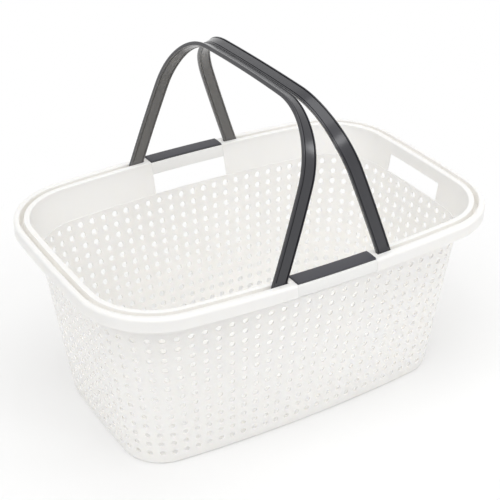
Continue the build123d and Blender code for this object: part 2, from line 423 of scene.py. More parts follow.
class StageSettings(bpy.types.PropertyGroup):
    """Camera, floor and lamps."""

    camera_place: bpy.props.FloatVectorProperty(
        name="Camera",
        description="Place of the camera",
        default=(-0.7161, -1.1834, 0.9965),
        subtype="XYZ",
        size=3,
    )
    camera_turn: bpy.props.FloatVectorProperty(
        name="Camera Turn",
        description="Turn of the camera",
        default=(math.radians(59.67), 0.0, math.radians(-31.18)),
        subtype="EULER",
        size=3,
    )
    lens: bpy.props.FloatProperty(
        name="Lens", description="Focal length on a 36 mm sensor", default=89.72, unit="CAMERA"
    )
    floor_colour: bpy.props.FloatVectorProperty(
        name="Floor", description="Pale floor", default=(0.90, 0.90, 0.90), subtype="COLOR", size=3
    )
    left_level: bpy.props.FloatProperty(
        name="Left Lamp", description="Level of the broad lamp on the left", default=0.75, min=0.0
    )
    right_level: bpy.props.FloatProperty(
        name="Right Lamp", description="Level of the broad lamp at the front right", default=0.16, min=0.0
    )
    top_level: bpy.props.FloatProperty(
        name="Top Lamp", description="Level of the broad lamp above", default=0.93, min=0.0
    )
    panel_power: bpy.props.FloatProperty(
        name="Panels", description="Power of each soft panel", default=1.6, unit="POWER"
    )
    lamp_colour: bpy.props.FloatVectorProperty(
        name="Lamp Colour",
        description="Cool white of the lamps",
        default=(0.972, 0.986, 1.0),
        subtype="COLOR",
        size=3,
    )
    sky_level: bpy.props.FloatProperty(
        name="Surround", description="Level of the light all round", default=0.53, min=0.0
    )


def ovals(tub):
    """Rim, channel, mouth and base ovals: half length, half width, corner, side and end radius."""
    rim = (tub.rim_length / 2, tub.rim_width / 2, tub.rim_corner, tub.side_bow, tub.end_bow)
    half = tub.channel_width / 2
    end_in, side_in = tub.end_lip + half, tub.side_lip + half
    channel = (rim[0] - end_in, rim[1] - side_in, rim[2] - (end_in + side_in) / 2, *rim[3:])
    end_in, side_in = tub.end_inner_lip + half, tub.side_inner_lip + half
    mouth = (channel[0] - end_in, channel[1] - side_in, channel[2] - (end_in + side_in) / 2, *rim[3:])
    base = (tub.base_length / 2, tub.base_width / 2, tub.base_corner, tub.side_bow, tub.end_bow)
    return rim, channel, mouth, base


def corner_centre(shape):
    """Centres and joining angles of an oval's side, corner and end arcs."""
    length, width, corner, side, end = shape
    side_y, end_x = width - side, length - end
    apart = math.hypot(end_x, side_y)
    along = ((side - corner) ** 2 - (end - corner) ** 2 + apart**2) / (2 * apart)
    across = math.sqrt((side - corner) ** 2 - along**2)
    x = (along * end_x - across * side_y) / apart
    y = side_y - (along * side_y + across * end_x) / apart
    return side_y, end_x, x, y, math.atan2(y - side_y, x), math.atan2(y, x - end_x)


def ring_points(shape, grow, share):
    """Points of grown ovals at shares of their length, from the front's middle to the right."""
    side_y, end_x, cx, cy, side_angle, end_angle = corner_centre(shape)
    turn = np.mod(share, 1.0) * 4
    part = np.where(turn < 1, turn, np.where(turn < 2, 2 - turn, np.where(turn < 3, turn - 2, 4 - turn)))
    side, corner, end = shape[3] + grow, shape[2] + grow, shape[4] + grow
    first = side * (math.pi / 2 - side_angle)
    second = corner * (side_angle - end_angle)
    run = part * (first + second + end * end_angle)
    on_side = math.pi / 2 - run / side
    on_corner = side_angle - (run - first) / corner
    on_end = end_angle - (run - first - second) / end
    where = [run < first, run < first + second]
    xs = [side * np.cos(on_side), cx + corner * np.cos(on_corner)]
    ys = [side_y + side * np.sin(on_side), cy + corner * np.sin(on_corner)]
    x = np.select(where, xs, end_x + end * np.cos(on_end))
    y = np.select(where, ys, end * np.sin(on_end))
    return np.where(turn < 2, x, -x), np.where((turn < 1) | (turn >= 3), -y, y)


def ring_length(shape, grow):
    """Length round a grown oval."""
    _, _, _, _, side_angle, end_angle = corner_centre(shape)
    side, corner, end = shape[3] + grow, shape[2] + grow, shape[4] + grow
    return 4 * (side * (math.pi / 2 - side_angle) + corner * (side_angle - end_angle) + end * end_angle)


def plan_point(shape, grow, station):
    """Point of a grown oval's front right quarter at a station along it."""
    side_y, end_x, cx, cy, side_angle, end_angle = corner_centre(shape)
    kind, value = station
    side, corner, end = shape[3] + grow, shape[2] + grow, shape[4] + grow
    if kind == "along":
        return value, -(side_y + math.sqrt(side**2 - value**2))
    if kind == "across":
        return end_x + math.sqrt(end**2 - value**2), -value
    start = math.acos(CORNER_FROM / side)
    stop = math.asin(CORNER_TO / end)
    first = side * (start - side_angle)
    second = corner * (side_angle - end_angle)
    run = value * (first + second + end * (end_angle - stop))
    if run < first:
        angle = start - run / side
        return side * math.cos(angle), -(side_y + side * math.sin(angle))
    if run < first + second:
        angle = side_angle - (run - first) / corner
        return cx + corner * math.cos(angle), -(cy + corner * math.sin(angle))
    angle = end_angle - (run - first - second) / end
    return end_x + end * math.cos(angle), -end * math.sin(angle)


def quarter_stations(along, corner_steps, across):
    """Stations of a quarter: along the front, round the corner and across the right end."""
    rounded = [("round", step / corner_steps) for step in range(1, corner_steps)]
    return [("along", x) for x in along] + rounded + [("across", y) for y in across]


def band_point(tub, station, height, out=0.0):
    """Point on the inside of the plain band between mouth and ledge."""
    _, _, mouth, base = ovals(tub)
    foot_grow = tub.ledge_height * math.tan(tub.draft) + tub.ledge_width - tub.wall
    top = plan_point(mouth, out, station)
    low = plan_point(base, foot_grow + out, station)
    share = (tub.rim_height - height) / (tub.rim_height - tub.ledge_height)
    return (*(t + (b - t) * share for t, b in zip(top, low)), height)


def arc(middle, radius, start, stop, steps):
    """Points of an arc in section, by angles in degrees."""
    angles = [math.radians(start + (stop - start) * step / steps) for step in range(steps + 1)]
    return [(middle[0] + radius * math.cos(a), middle[1] + radius * math.sin(a)) for a in angles]


def select_none():
    """Clear the selection, so that an operator acts on the new piece alone."""
    if bpy.context.object and bpy.context.object.mode != "OBJECT":
        bpy.ops.object.mode_set(mode="OBJECT")
    bpy.ops.object.select_all(action="DESELECT")


def edit(obj, mode="VERT"):
    """Open a piece in edit mode with nothing selected."""
    bpy.context.view_layer.objects.active = obj
    bpy.ops.object.mode_set(mode="EDIT")
    bpy.ops.mesh.select_mode(type=mode)
    bpy.ops.mesh.select_all(action="DESELECT")


def close():
    """Leave edit mode."""
    bpy.ops.object.mode_set(mode="OBJECT")


def edit_all(obj):
    """Open a piece in edit mode with all of it selected."""
    edit(obj)
    bpy.ops.mesh.select_all(action="SELECT")


def pick(obj, mode, wanted):
    """Open a piece in edit mode with only the wanted edges or faces selected."""
    edit(obj, mode)
    close()
    for item in obj.data.edges if mode == "EDGE" else obj.data.polygons:
        item.select = wanted(item)
    bpy.ops.object.mode_set(mode="EDIT")


def places(obj):
    """Vertex places of a piece as an array."""
    co = np.empty(len(obj.data.vertices) * 3)
    obj.data.vertices.foreach_get("co", co)
    return co.reshape(-1, 3)


def put_places(obj, co):
    """Set the vertex places of a piece."""
    obj.data.vertices.foreach_set("co", np.ascontiguousarray(co, dtype=np.float64).ravel())
    obj.data.update()


def apply(obj, kind, **settings):
    """Add a modifier and apply it."""
    bpy.context.view_layer.objects.active = obj
    modifier = obj.modifiers.new(kind.title(), kind)
    for name, value in settings.items():
        setattr(modifier, name, value)
    bpy.ops.object.modifier_apply(modifier=modifier.name)


def merge(obj, distance=1e-5):
    """Join vertices that lie on each other."""
    edit_all(obj)
    bpy.ops.mesh.remove_doubles(threshold=distance)
    close()


def face_out(obj):
    """Turn a closed piece's faces outwards."""
    edit_all(obj)
    bpy.ops.mesh.normals_make_consistent(inside=False)
    close()


def flip_if(obj, wrong):
    """Turn all faces round if they are the wrong way."""
    if wrong:
        edit_all(obj)
        bpy.ops.mesh.flip_normals()
        close()


def soften(obj, angle=35):
    """Smooth shading that keeps the real edges."""
    select_none()
    obj.select_set(True)
    bpy.context.view_layer.objects.active = obj
    bpy.ops.object.shade_smooth_by_angle(angle=math.radians(angle))


def loft(name, sections, painted_light_rows=()):
    """A grid whose columns lie on the given sections, with the given rows marked in its "deep" attribute,
    where plastic() paints light.
    """
    columns, rows = len(sections), len(sections[0])
    select_none()
    bpy.ops.mesh.primitive_grid_add(x_subdivisions=columns - 1, y_subdivisions=rows - 1, size=2)
    obj = bpy.context.object
    obj.name = obj.data.name = name
    flat = places(obj)
    column = np.rint((flat[:, 0] + 1) / 2 * (columns - 1)).astype(int)
    row = np.rint((flat[:, 1] + 1) / 2 * (rows - 1)).astype(int)
    put_places(obj, np.array(sections)[column, row])
    # The "deep" attribute marks where painted light goes: the channel's cream lift and the handles' lighter
    # inner faces.
    deep = obj.data.attributes.new("deep", "FLOAT", "POINT")
    deep.data.foreach_set("value", np.isin(row, painted_light_rows).astype(np.float32))
    corners = [list(face.vertices) for face in obj.data.polygons]
    return obj, [(column[face].min(), row[face].min()) for face in corners]


def cut_cells(obj, cells, gone):
    """Delete the grid's cells for which gone says so."""
    pick(obj, "FACE", lambda face: gone(*cells[face.index]))
    bpy.ops.mesh.delete(type="FACE")
    close()


def fill_ends(obj):
    """Close the open ends of a tube."""
    edit(obj)
    bpy.ops.mesh.select_non_manifold(
        extend=False, use_wire=False, use_multi_face=False, use_non_contiguous=False
    )
    bpy.ops.mesh.edge_face_add()
    close()


def fill_foot(obj, limit):
    """Close the foot's open end and leave the middle open for the mirror."""
    faces = Counter(key for face in obj.data.polygons for key in face.edge_keys)

    def at_foot(side):
        near = all(obj.data.vertices[i].co.x < limit for i in side.vertices)
        return near and faces[side.key] == 1

    pick(obj, "EDGE", at_foot)
    bpy.ops.mesh.edge_face_add()
    close()


def bevel(obj, width, segments, angle):
    """Round the edges that are sharper than an angle in degrees."""
    limit = math.radians(angle)
    apply(obj, "BEVEL", width=width, segments=segments, limit_method="ANGLE", angle_limit=limit)


def copy_mirrored(obj, name, axis):
    """A mirrored copy of a piece with its own mesh."""
    select_none()
    obj.select_set(True)
    bpy.context.view_layer.objects.active = obj
    bpy.ops.object.duplicate(linked=False)
    copy = bpy.context.object
    copy.name = copy.data.name = name
    copy.scale = [-1 if axis == letter else 1 for letter in "XYZ"]
    bpy.ops.object.transform_apply(location=False, rotation=False, scale=True)
    face_out(copy)
    return copy


def noise(nodes, links, place, scale, detail):
    """Noise that lies still on the piece."""
    texture = nodes.new("ShaderNodeTexNoise")
    texture.inputs["Scale"].default_value = scale
    texture.inputs["Detail"].default_value = detail
    links.new(place.outputs["Object"], texture.inputs["Vector"])
    return texture.outputs["Fac"]


def spread(nodes, links, source, low, high):
    """A value between two levels, led by a source from 0 to 1."""
    levels = nodes.new("ShaderNodeMapRange")
    levels.inputs["To Min"].default_value = low
    levels.inputs["To Max"].default_value = high
    links.new(source, levels.inputs["Value"])
    return levels.outputs["Result"]


def plastic(name, colour, shade, rough, grain, shine=0.5, coat=0.0, scatter=0.0, deep=None):
    """Moulded plastic: a faint cloudiness in colour and gloss over a fine grain, with a painted-light
    colour where the "deep" attribute is set.
    """
    material = bpy.data.materials.new(name)
    material.use_nodes = True
    nodes, links = material.node_tree.nodes, material.node_tree.links
    shader = nodes["Principled BSDF"]
    shader.inputs["IOR"].default_value = PLASTIC_IOR
    shader.inputs["Specular IOR Level"].default_value = shine
    shader.inputs["Coat Weight"].default_value = coat
    shader.inputs["Coat Roughness"].default_value = COAT_ROUGHNESS
    shader.inputs["Subsurface Weight"].default_value = scatter
    shader.inputs["Subsurface Radius"].default_value = SCATTER_RADIUS
    shader.inputs["Subsurface Scale"].default_value = SCATTER_SCALE
    place = nodes.new("ShaderNodeTexCoord")
    cloud = noise(nodes, links, place, CLOUD_SCALE, CLOUD_DETAIL)
    tint = nodes.new("ShaderNodeMix")
    tint.data_type = "RGBA"
    tint.inputs[6].default_value = (*(c * shade for c in colour), 1)
    tint.inputs[7].default_value = (*colour, 1)
    links.new(cloud, tint.inputs["Factor"])
    links.new(tint.outputs[2], shader.inputs["Base Color"])
    gloss = spread(nodes, links, cloud, rough - GLOSS_SPREAD, rough + GLOSS_SPREAD)
    links.new(gloss, shader.inputs["Roughness"])
    bump = nodes.new("ShaderNodeBump")
    bump.inputs["Strength"].default_value = grain
    bump.inputs["Distance"].default_value = GRAIN_DEPTH
    links.new(noise(nodes, links, place, GRAIN_SCALE, GRAIN_DETAIL), bump.inputs["Height"])
    links.new(bump.outputs["Normal"], shader.inputs["Normal"])
    # Painted light: where the "deep" attribute is set, the base colour becomes the given lighter colour, a
    # painted lift of the shade in the rim's channel or a painted reflection on the handles' inner faces;
    # the scatter is turned off there.
    if deep:
        painted_light_mark = nodes.new("ShaderNodeAttribute")
        painted_light_mark.attribute_name = "deep"
        inside = nodes.new("ShaderNodeMix")
        inside.data_type = "RGBA"
        inside.inputs[7].default_value = (*deep, 1)
        links.new(painted_light_mark.outputs["Fac"], inside.inputs["Factor"])
        links.new(tint.outputs[2], inside.inputs[6])
        links.new(inside.outputs[2], shader.inputs["Base Color"])
        if scatter:
            glow = spread(nodes, links, painted_light_mark.outputs["Fac"], scatter, 0.0)
            links.new(glow, shader.inputs["Subsurface Weight"])
    return material


def finish_piece(obj, material, body, nodes):
    """Give a piece its material, its body and the nodes that it stands for."""
    obj.data.materials.clear()
    obj.data.materials.append(material)
    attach(obj, body)
    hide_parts(*nodes)


def finish_both_sides(front, part, material):
    """Mirror a grip's front piece to the back and finish the two."""
    back = copy_mirrored(front, f"back_{part}", "Y")
    for piece, side in zip((front, back), SIDES):
        finish_piece(piece, material, "basket", [f"{side}_grip_{part}"])


class BASKET_OT_wall(bpy.types.Operator):
    """Perforated wall and floor, from one pierced cell"""

    bl_idname = "basket.make_wall"
    bl_label = "Perforated Wall"

    def execute(self, context):
        tub = context.scene.basket_tub
        base = ovals(tub)[3]
        slope = math.tan(tub.draft)
        select_none()
        bpy.ops.mesh.primitive_circle_add(vertices=CELL_POINTS, radius=CELL_HOLE, fill_type="NOTHING")
        obj = context.object
        obj.name = obj.data.name = "perforated_wall"
        edit_all(obj)
        bpy.ops.mesh.extrude_edges_move()
        close()
        for vertex in obj.data.vertices:
            if vertex.select:
                vertex.co *= 0.5 / max(abs(vertex.co.x), abs(vertex.co.y))
        for count, way in ((tub.hole_columns, (1, 0, 0)), (tub.hole_rows, (0, 1, 0))):
            apply(
                obj, "ARRAY", count=count, use_relative_offset=False, use_constant_offset=True,
                constant_offset_displace=way, use_merge_vertices=True, merge_threshold=0.01,
            )
        top_edge = tub.hole_rows - 0.5
        below = self.below(tub, slope)
        above = self.above(tub, slope)
        self.add_rows(obj, -0.5, -1, len(below))
        self.add_rows(obj, top_edge, 1, len(above))
        flat = places(obj)
        u, v = flat[:, 0], flat[:, 1]
        cell_u = np.rint(u)
        cell_v = np.clip(np.rint(v), 0, tub.hole_rows - 1)
        off_u, off_v = u - cell_u, v - cell_v
        pierced = np.hypot(off_u, off_v) < CELL_HOLE * 1.1
        row_z = tub.top_row - (tub.hole_rows - 1 - cell_v) * tub.row_pitch
        rise = cell_v / (tub.hole_rows - 1)
        radius = (tub.hole_low + (tub.hole_top - tub.hole_low) * rise) / 2
        pitch = ring_length(base, row_z * slope) / tub.hole_columns
        angle = np.arctan2(off_v, off_u)
        plain = tub.top_row - (tub.hole_rows - 1 - v) * tub.row_pitch
        rows = [(-0.5 - step, *row) for step, row in enumerate(below, 1)]
        rows += [(top_edge + step, *row) for step, row in enumerate(above, 1)]

        def wrapped(radius):
            share = np.where(pierced, cell_u + radius * np.cos(angle) / pitch, u) / tub.hole_columns
            height = np.where(pierced, row_z + radius * np.sin(angle), plain)
            grow = height * slope
            for place, row_grow, row_height in rows:
                there = np.abs(v - place) < ROW_MATCH
                grow, height = np.where(there, row_grow, grow), np.where(there, row_height, height)
            return np.column_stack((*ring_points(base, grow, share), height))

        put_places(obj, wrapped(radius))
        flare = obj.data.attributes.new("flare", "FLOAT_VECTOR", "POINT")
        flare.data.foreach_set("vector", (wrapped(radius + tub.hole_flare) - wrapped(radius)).ravel())
        merge(obj)
        self.add_floor(obj)
        face_out(obj)
        outward = next(face for face in obj.data.polygons if abs(face.normal.z) < 0.5)
        flip_if(obj, outward.normal.dot(Vector((outward.center.x, outward.center.y, 0))) < 0)
        outside = len(obj.data.vertices)
        apply(obj, "SOLIDIFY", thickness=tub.wall, offset=-1)
        self.flare_holes(obj, outside)
        soften(obj)
        walls = [f"{corner}_wall" for corner in CORNERS] + [f"{end}_wall" for end in ENDS]
        bends = [f"{corner}_corner_{part}" for corner in CORNERS for part in ("near", "far")]
        nodes = ["tub_floor", *walls, *bends]
        finish_piece(obj, context.scene.basket_tub_material, "basket", nodes)
        return {"FINISHED"}

    def below(self, tub, slope):
        """Rows under the holes: round the foot to the floor."""
        radius = tub.foot_round
        middle = (radius * slope - radius / math.cos(tub.draft), radius)
        return arc(middle, radius, -math.degrees(tub.draft), -90, FOOT_STEPS)

    def above(self, tub, slope):
        """Rows over the holes: up to the ledge."""
        return [(height * slope, height) for height in (tub.ledge_height - tub.wall / 2, tub.ledge_height)]

    def flare_holes(self, obj, outside):
        """Widen the holes on the inner face."""
        co = places(obj)
        flare = np.empty(co.size)
        obj.data.attributes["flare"].data.foreach_get("vector", flare)
        reach = np.hypot(co[:, 0], co[:, 1])
        inner = slice(outside, 2 * outside)
        if reach[inner].sum() > reach[:outside].sum():
            inner = slice(0, outside)
        co[inner] += flare.reshape(-1, 3)[inner]
        put_places(obj, co)
        obj.data.attributes.remove(obj.data.attributes["flare"])

    def add_rows(self, obj, edge, way, count):
        """Extrude the sheet's edge into plain rows, one unit each."""
        points = obj.data.vertices
        pick(obj, "EDGE", lambda side: all(abs(points[i].co.y - edge) < 0.01 for i in side.vertices))
        for _ in range(count):
            bpy.ops.mesh.extrude_edges_move(TRANSFORM_OT_translate={"value": (0, way, 0)})
        close()

    def add_floor(self, obj):
        """Fill the floor and lift its middle off the ground."""
        points = obj.data.vertices
        pick(obj, "EDGE", lambda side: all(points[i].co.z < 1e-6 for i in side.vertices))
        bpy.ops.mesh.edge_face_add()
        bpy.ops.mesh.select_mode(type="FACE")
        bpy.ops.mesh.inset(thickness=FLOOR_BORDER, depth=0)
        bpy.ops.mesh.inset(thickness=FLOOR_STEP, depth=0)
        bpy.ops.transform.translate(value=(0, 0, FLOOR_LIFT))
        close()


class BASKET_OT_rim(bpy.types.Operator):
    """Folded rim with its channel, hand holes and finger slots"""

    bl_idname = "basket.make_rim"
    bl_label = "Rim"

    def execute(self, context):
        tub = context.scene.basket_tub
        half_side, half_end, half_slot = tub.side_hole / 2, tub.end_hole / 2, tub.finger_slot / 2
        pocket_wall = [tub.pocket_end, tub.pocket_end]
        along = [*RIM_BAR_STATIONS, half_side, *pocket_wall, *RIM_SIDE_STATIONS, CORNER_FROM]
        across = [CORNER_TO, RIM_BEFORE_HOLE, half_end, *RIM_HOLE_STATIONS, half_slot, *RIM_SLOT_STATIONS]
        stations = quarter_stations(along, RIM_CORNER_STEPS, across)
        pocket = along.index(tub.pocket_end)
        sections = [self.section(tub, station, column > pocket) for column, station in enumerate(stations)]
        heights = [point[2] for point in sections[-1]]
        first_deep = heights.index(tub.channel_floor + CHANNEL_CORNER)
        floor_points = 2 * (CHANNEL_STEPS + 1)
        # The channel's deep rows are marked for the painted cream lift of the shade in the channel.
        obj, cells = loft("basket_rim", sections, range(first_deep - 1, first_deep + floor_points + 1))
        foot_row = len(heights) - 2
        hole_row = foot_row - 2
        floor_rows = [row for row, z in enumerate(heights) if abs(z - tub.channel_floor) < 1e-6]
        bar_column = along.index(half_side)
        end_column = stations.index(("across", half_end))
        slot_column = stations.index(("across", half_slot))

        def gone(column, row):
            if column < bar_column:
                return row < foot_row
            if column >= end_column and hole_row <= row < foot_row:
                return True
            return column >= slot_column and floor_rows[0] <= row < floor_rows[-1]

        cut_cells(obj, cells, gone)
        apply(obj, "MIRROR", use_axis=(True, True, False), merge_threshold=1e-5)
        merge(obj)
        top = max(obj.data.polygons, key=lambda face: face.center.z * 100 + abs(face.normal.z))
        flip_if(obj, top.normal.z < 0)
        apply(obj, "SOLIDIFY", thickness=tub.rim_wall, offset=-1)
        soften(obj)
        rims = [f"{corner}_rim" for corner in CORNERS] + [f"{end}_rim" for end in ENDS]
        bends = [f"{corner}_rim_corner" for corner in CORNERS]
        finish_piece(obj, context.scene.basket_tub_material, "basket", rims + bends)
        return {"FINISHED"}

    def section(self, tub, station, open_channel):
        """The rim's visible section from the skirt over both lips and down the band."""
        rim, channel, mouth, _ = ovals(tub)
        top, floor, half = tub.rim_height, tub.channel_floor, tub.channel_gap / 2
        lip, edge, corner, brim = tub.lip_round, tub.channel_round, CHANNEL_CORNER, tub.mouth_round
        rows = [(rim, 0.0, tub.skirt_foot), (rim, 0.0, SKIRT_MIDDLE)]
        rows += [(rim, g, z) for g, z in arc((-lip, top - lip), lip, 0, 90, LIP_STEPS)]
        groove = arc((half + edge, top - edge), edge, 90, 180, EDGE_STEPS)
        groove += arc((half - corner, floor + corner), corner, 0, -90, CHANNEL_STEPS)
        groove += arc((corner - half, floor + corner), corner, -90, -180, CHANNEL_STEPS)
        groove += arc((-half - edge, top - edge), edge, 0, 90, EDGE_STEPS)
        rows += [(channel, g, z if open_channel else top) for g, z in groove]
        rows += [(mouth, g, z) for g, z in arc((brim, top - brim), brim, 90, 180, MOUTH_STEPS)]
        points = [(*plan_point(shape, grow, station), z) for shape, grow, z in rows]
        foot, overlap = tub.ledge_height + BAND_FOOT, tub.ledge_height - BAND_OVERLAP
        for z in (BAND_TOP, tub.skirt_foot, HAND_HOLE_MIDDLE, foot, overlap):
            points.append(band_point(tub, station, z))
        return points


class BASKET_OT_bars(bpy.types.Operator):
    """White grip bars between the seams of the long sides"""

    bl_idname = "basket.make_bars"
    bl_label = "Grip Bars"

    def execute(self, context):
        tub, grip = context.scene.basket_tub, context.scene.basket_grip
        end = tub.side_hole / 2 - grip.seam
        stations = [end * (step / BAR_STEPS - 1) for step in range(2 * BAR_STEPS + 1)]
        obj, _ = loft("front_bar", [self.section(tub, grip, x) for x in stations])
        merge(obj)
        fill_ends(obj)
        face_out(obj)
        bevel(obj, FINE_BEVEL, 2, 60)
        soften(obj)
        finish_both_sides(obj, "bar", context.scene.basket_bar_material)
        return {"FINISHED"}

    def section(self, tub, grip, x):
        """Closed section of the bar at a place along it."""
        rim = ovals(tub)[0]
        top, foot = tub.rim_height - grip.seat, tub.skirt_foot
        low, edge, steps = grip.bar_round, BAR_EDGE, EDGE_STEPS
        station = ("along", abs(x))
        outer = arc((-low, foot + low), low, -90, 0, steps) + arc((-edge, top - edge), edge, 0, 90, steps)
        inner = arc((edge, top - edge), edge, 90, 180, steps) + arc((low, foot + low), low, 180, 270, steps)
        points = [(*plan_point(rim, g, station), z) for g, z in outer]
        points += [band_point(tub, station, z, g) for g, z in inner]
        return [(x, y, z) for _, y, z in points + points[:1]]


class BASKET_OT_pads(bpy.types.Operator):
    """Dark pads let into the tops of the grip bars"""

    bl_idname = "basket.make_pads"
    bl_label = "Grip Pads"

    def execute(self, context):
        tub, grip = context.scene.basket_tub, context.scene.basket_grip
        rim, _, mouth, _ = ovals(tub)
        end = tub.side_hole / 2 - grip.pad_inset
        top = tub.rim_height + grip.pad_proud
        across = [row / PAD_ROWS for row in range(PAD_ROWS + 1)]
        drops = [PAD_CROWN * (2 * share - 1) ** 2 for share in across]
        sections = []
        for step in range(2 * PAD_STEPS + 1):
            x = end * (step / PAD_STEPS - 1)
            outer = plan_point(rim, -grip.pad_margin, ("along", abs(x)))[1]
            inner = plan_point(mouth, grip.pad_inset, ("along", abs(x)))[1]
            depths = [outer + (inner - outer) * share for share in across]
            sections.append([(x, y, top - drop) for y, drop in zip(depths, drops)])
        obj, _ = loft("front_pad", sections)
        flip_if(obj, obj.data.polygons[0].normal.z < 0)
        apply(obj, "SOLIDIFY", thickness=grip.seat + grip.pad_proud, offset=-1, use_even_offset=True)
        bevel(obj, grip.pad_round, 3, 50)
        soften(obj)
        finish_both_sides(obj, "pad", context.scene.basket_pad_material)
        return {"FINISHED"}


class BASKET_OT_handles(bpy.types.Operator):
    """Beaded strips bent to half ovals, swung up to meet"""

    bl_idname = "basket.make_handles"
    bl_label = "Swing Handles"

    def execute(self, context):
        tub, handle = context.scene.basket_tub, context.scene.basket_handle
        channel = ovals(tub)[1]
        half = handle.strip_width / 2
        tip = handle.pivot_x - half
        foot = [handle.pivot_x - half * math.cos(math.radians(angle)) for angle in FOOT_ANGLES]
        step = tip + handle.foot
        along = [*foot, FOOT_MIDDLE, step - FOOT_BEFORE, step + FOOT_AFTER, *LEG_STATIONS, CORNER_FROM]
        across = [CORNER_TO, *CROSSBAR_STATIONS]
        sections = []
        for kind, value in quarter_stations(along, HANDLE_CORNER_STEPS, across):
            width, deep = 1.0, handle.recess
            if kind == "along":
                width = math.sqrt(max(0.0, 1 - (max(0.0, handle.pivot_x - value) / half) ** 2))
                deep = handle.recess if value > step else 0.0
            reach = (plan_point(channel, 0.0, (kind, value))[0] - TAPER_FROM) / TAPER_LENGTH
            taper = min(1.0, max(0.0, reach))
            taper = taper * taper * (3 - 2 * taper)
            middle = handle.strip_middle + (handle.bar_middle - handle.strip_middle) * taper
            tall = half + (handle.bar_width / 2 - half) * taper
            outer, inner = self.section(handle, tall, deep)
            ring = [
                (*plan_point(channel, out, (kind, value)), middle + high * width)
                for out, high in outer + inner
            ]
            sections.append(ring + ring[:1])
        # The inner face rows are marked for the painted reflection, a lighter grey than the outer face.
        obj, _ = loft("right_bow", sections, range(len(outer) + 1, len(outer + inner) - 1))
        merge(obj)
        fill_foot(obj, tip + FOOT_REACH)
        self.add_stub(obj, tub, handle)
        apply(obj, "MIRROR", use_axis=(False, True, False), merge_threshold=1e-5)
        merge(obj)
        face_out(obj)
        pivot = Matrix.Translation((handle.pivot_x, 0, handle.pivot_z))
        obj.data.transform(pivot @ Matrix.Rotation(-handle.fold, 4, "Y") @ pivot.inverted())
        soften(obj, 30)
        left = copy_mirrored(obj, "left_bow", "X")
        for piece, end in ((obj, "right"), (left, "left")):
            name = f"{end}_handle"
            finish_piece(piece, context.scene.basket_handle_material, name, [name])
        return {"FINISHED"}

    def section(self, handle, half, deep):
        """Outer and inner face of the strip: out from the channel's line, and up from its middle."""
        thick, bead = handle.strip_thickness / 2, handle.bead
        groove = handle.groove if deep else 0.0
        edge, slant, wide = STRIP_EDGE, STRIP_SLANT, GROOVE_WIDTH
        lower = arc((thick - edge, edge - half), edge, -90, 0, STRIP_STEPS) + [
            (thick, bead - half - slant),
            (thick - deep - groove, bead - half),
            (thick - deep - groove, bead - half + wide),
            (thick - deep, bead - half + wide + slant),
            (thick - deep * STRIP_CROWN, -half * STRIP_CROWN_PLACE),
        ]
        upper = arc((edge - thick, half - edge), edge, 90, 180, STRIP_STEPS) + [
            (-thick, half - bead),
            (groove - thick, half - bead - slant),
            (groove - thick, half - bead - slant - wide),
            (-thick, half - bead - 2 * slant - wide),
        ]
        return [rows + [(out, -high) for out, high in reversed(rows)] for rows in (lower, upper)]

    def add_stub(self, obj, tub, handle):
        """Pivot stub on the outside of the foot."""
        side = -plan_point(ovals(tub)[1], handle.strip_thickness / 2, ("along", handle.pivot_x))[1]
        select_none()
        bpy.ops.mesh.primitive_cylinder_add(
            vertices=24, radius=handle.stub_radius, depth=handle.stub_length + STUB_SUNK,
            location=(handle.pivot_x, (STUB_SUNK - handle.stub_length) / 2 - side, handle.pivot_z),
            rotation=(math.pi / 2, 0, 0),
        )
        bevel(bpy.context.object, FINE_BEVEL, 2, 60)
        obj.select_set(True)
        bpy.context.view_layer.objects.active = obj
        bpy.ops.object.join()


